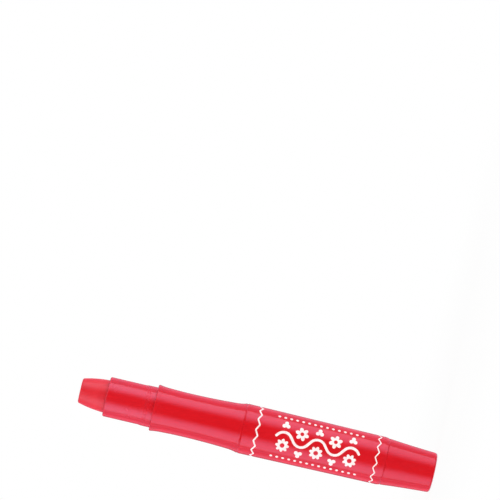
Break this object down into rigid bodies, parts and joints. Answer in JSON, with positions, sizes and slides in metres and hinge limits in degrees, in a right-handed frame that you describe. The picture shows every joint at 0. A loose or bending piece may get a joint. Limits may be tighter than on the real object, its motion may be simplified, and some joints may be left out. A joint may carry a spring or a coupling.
{
  "type": "twist crayon",
  "caption": "Twist-up gel crayon: a blunt wax stick in a waisted grip and a tapered barrel, fed in and out by an inner screw when the rear knob is turned.",
  "frame": {"origin": "centre of the knob's flat rear face, on which the crayon stands", "axes": "+Z along the crayon's axis towards the writing tip, +X through the keys of the elevator"},
  "size_m": [0.0156, 0.0156, 0.1119],
  "materials": {
    "red_polypropylene": "glossy moulded plastic",
    "gel_wax": "satin wax",
    "white_acetal": "satin moulded plastic",
    "black_silicone": "matt rubber",
    "white_ink": "screen-printed ink"
  },
  "bodies": {
    "holder": {"barrel": "red_polypropylene", "grip": "red_polypropylene", "guide_tube": "red_polypropylene"},
    "knob": {"twist_knob": "red_polypropylene", "spindle": "white_acetal", "brake_ring": "black_silicone"},
    "stick": {"crayon_stick": "gel_wax", "elevator": "white_acetal"}
  },
  "joints": [
    {"name": "stick_feed", "type": "slide", "parent": "holder", "child": "stick", "axis": [0, 0, 1], "range_m": [-0.009, 0.044]},
    {"name": "knob_twist", "type": "hinge", "parent": "holder", "child": "knob", "pos_m": [0, 0, 0], "axis": [0, 0, 1], "range_deg": [-540, 2640]}
  ],
  "couplings": [
    {"joint": "knob_twist", "follows": "stick_feed", "rad_per_m": 1047.2}
  ]
}
